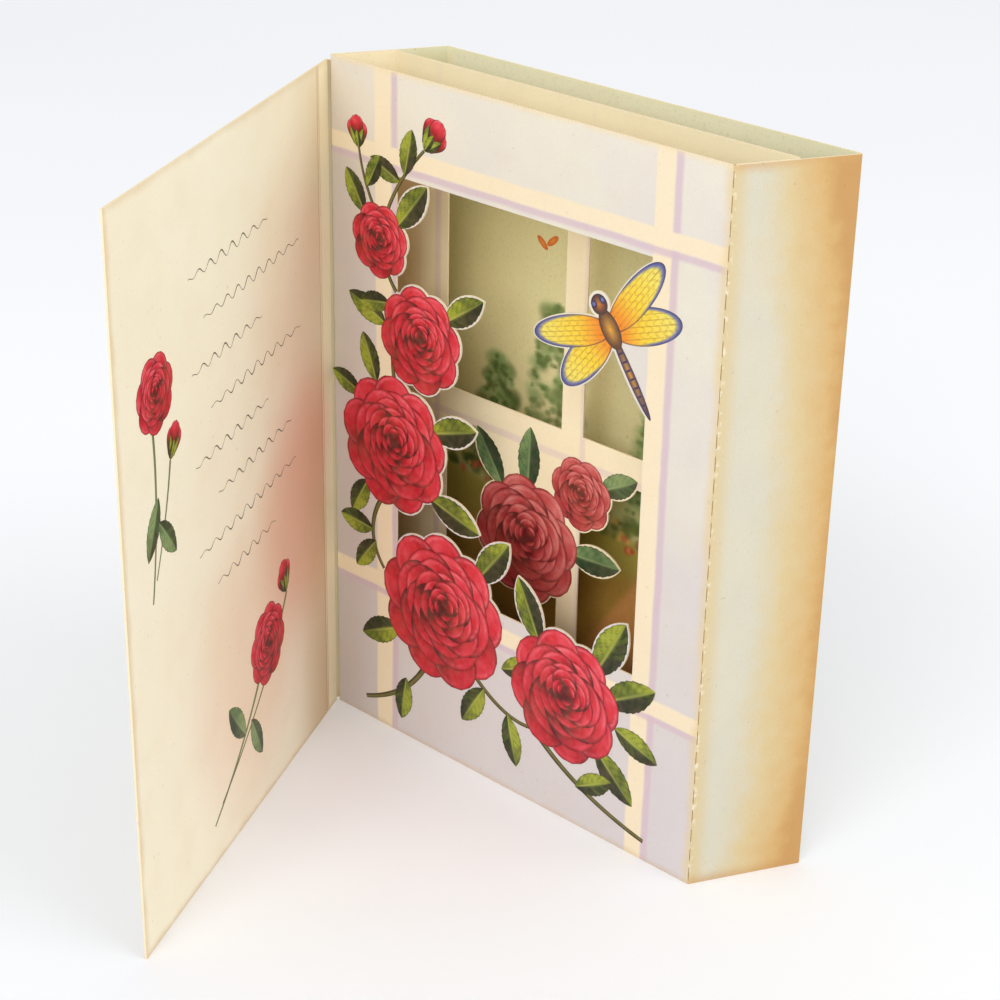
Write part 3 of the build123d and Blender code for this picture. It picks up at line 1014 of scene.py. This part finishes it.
def hinge_fold():
    """A thin bent strip from the left wall's outer face, round the front fold, to the cover's back."""
    outer_cover = HINGE - COVER_INWARD * (CARD + STRIP_STANDOFF)
    outer_wall = HINGE_SIDE - WALL_OUT * STRIP_STANDOFF
    route = [
        outer_wall + WALL * 1.4 * MM,
        outer_wall + WALL * 0.7 * MM,
        HINGE_SIDE - WALL_OUT * 0.05 * MM + Vector((-0.02, 0.06, 0)) * MM,
        HINGE - COVER_INWARD * 0.36 * MM - COVER_ALONG * 0.12 * MM,
        outer_cover + COVER_ALONG * 0.35 * MM,
        outer_cover + COVER_ALONG * 1.3 * MM,
    ]
    points, faces = [], []
    for k in range(STRIP_LEVELS + 1):
        z = STRIP_LOW + (STRIP_HIGH - STRIP_LOW) * k / STRIP_LEVELS
        points += [(p.x, p.y, z) for p in route]
    for k in range(STRIP_LEVELS):
        for j in range(len(route) - 1):
            a = k * len(route) + j
            faces.append((a, a + 1, a + 1 + len(route), a + len(route)))
    mesh = bpy.data.meshes.new("hinge_fold")
    mesh.from_pydata(points, [], faces)
    mesh.materials.append(plain_print("fold_card", (232, 216, 180), (208, 166, 108)))
    piece = add_object("hinge_fold", mesh)
    thick = piece.modifiers.new("thickness", "SOLIDIFY")
    thick.thickness = STRIP_THICKNESS
    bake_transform(piece)


hinge_fold()

# ---- Floor, light and camera -------------------------------------------------------------------------
FLOOR_HALF = 4.0
GLOW_NEAR, GLOW_FAR = 0.08, 0.24
WORLD_LIGHT, WORLD_SEEN = 0.7, 0.24
# Each lamp is its name, direction from the card, distance and size in metres, and watts.
LAMPS = [("key", (0.4, -1.0, 0.72), 1.4, 1.0, 8.0), ("side", (1.0, 0.25, 0.6), 1.5, 1.0, 5.0)]


def floor():
    """White paper under the card, which glows a little for the camera further out."""
    mesh = bpy.data.meshes.new("floor")
    h = FLOOR_HALF
    mesh.from_pydata([(-h, -h, 0), (h, -h, 0), (h, h, 0), (-h, h, 0)], [], [(0, 1, 2, 3)])
    piece = add_object("floor", mesh)
    piece.location.z = -TINY
    n = Nodes("floor_paper")
    colour = n.clouds(0.4, 1.0, (247, 248, 250), (244, 246, 249))
    shader = n.add("ShaderNodeBsdfPrincipled")
    n.feed(shader.inputs["Base Color"], colour)
    shader.inputs["Roughness"].default_value = 0.9
    shader.inputs["Specular IOR Level"].default_value = 0.1
    lift = n.add("ShaderNodeEmission")
    n.feed(lift.inputs["Color"], (244, 248, 255))
    paths = n.add("ShaderNodeLightPath")
    away = n.add("ShaderNodeVectorMath")
    away.operation = "LENGTH"
    n.feed(away.inputs[0], n.place)
    glow = n.plus(0.05, n.times(n.ramp(away.outputs["Value"], GLOW_NEAR, GLOW_FAR), 0.09))
    n.feed(lift.inputs["Strength"], n.times(paths.outputs["Is Camera Ray"], glow))
    both = n.add("ShaderNodeAddShader")
    n.feed(both.inputs[0], shader.outputs["BSDF"])
    n.feed(both.inputs[1], lift.outputs["Emission"])
    output = n.add("ShaderNodeOutputMaterial")
    n.feed(output.inputs["Surface"], both.outputs["Shader"])
    mesh.materials.append(n.material)


def softbox(name, direction, distance, size, watts):
    """A square lamp that looks at the middle of the card from a direction."""
    data = bpy.data.lights.new(name, "AREA")
    data.energy, data.size = watts, size
    lamp = add_object(name, data)
    centre = (cad_box[0] + cad_box[1]) / 2
    lamp.location = centre + Vector(direction).normalized() * distance
    lamp.rotation_euler = (centre - lamp.location).to_track_quat("-Z", "Y").to_euler()


def studio():
    """The floor, the lamps, and a white surround that is brighter to the camera than to the card."""
    floor()
    for lamp in LAMPS:
        softbox(*lamp)
    world = bpy.data.worlds.new("studio")
    world.use_nodes = True
    sky = world.node_tree.nodes["Background"]
    sky.inputs["Color"].default_value = (1.0, 1.0, 1.0, 1.0)
    paths = world.node_tree.nodes.new("ShaderNodeLightPath")
    level = world.node_tree.nodes.new("ShaderNodeMath")
    level.operation = "MULTIPLY_ADD"
    level.inputs[1].default_value = WORLD_SEEN
    level.inputs[2].default_value = WORLD_LIGHT
    world.node_tree.links.new(paths.outputs["Is Camera Ray"], level.inputs[0])
    world.node_tree.links.new(level.outputs[0], sky.inputs["Strength"])
    bpy.context.scene.world = world


AZIMUTH, ELEVATION, ROLL = math.radians(42.98), math.radians(25.46), math.radians(1.16)
CAMERA_PLACE = HINGE_SIDE + Vector((338.4, -308.8, 269.5)) * MM
LENS_MM, SENSOR_MM = 81.4, 36.0


def camera():
    """Stands to the right of the front panel and looks down into the opened card."""
    forward = Vector((-math.sin(AZIMUTH) * math.cos(ELEVATION),
                      math.cos(AZIMUTH) * math.cos(ELEVATION), -math.sin(ELEVATION)))
    right = Vector((math.cos(AZIMUTH), math.sin(AZIMUTH), 0))
    up = right.cross(forward)
    right_rolled = right * math.cos(ROLL) + up * math.sin(ROLL)
    up_rolled = up * math.cos(ROLL) - right * math.sin(ROLL)
    data = bpy.data.cameras.new("camera")
    data.sensor_width = SENSOR_MM
    data.lens = LENS_MM
    data.clip_start = 0.01
    piece = add_object("camera", data)
    axes = Matrix((right_rolled, up_rolled, -forward)).transposed().to_4x4()
    piece.matrix_world = Matrix.Translation(CAMERA_PLACE) @ axes
    bpy.context.scene.camera = piece


studio()
camera()
bpy.context.scene.view_settings.view_transform = "Standard"
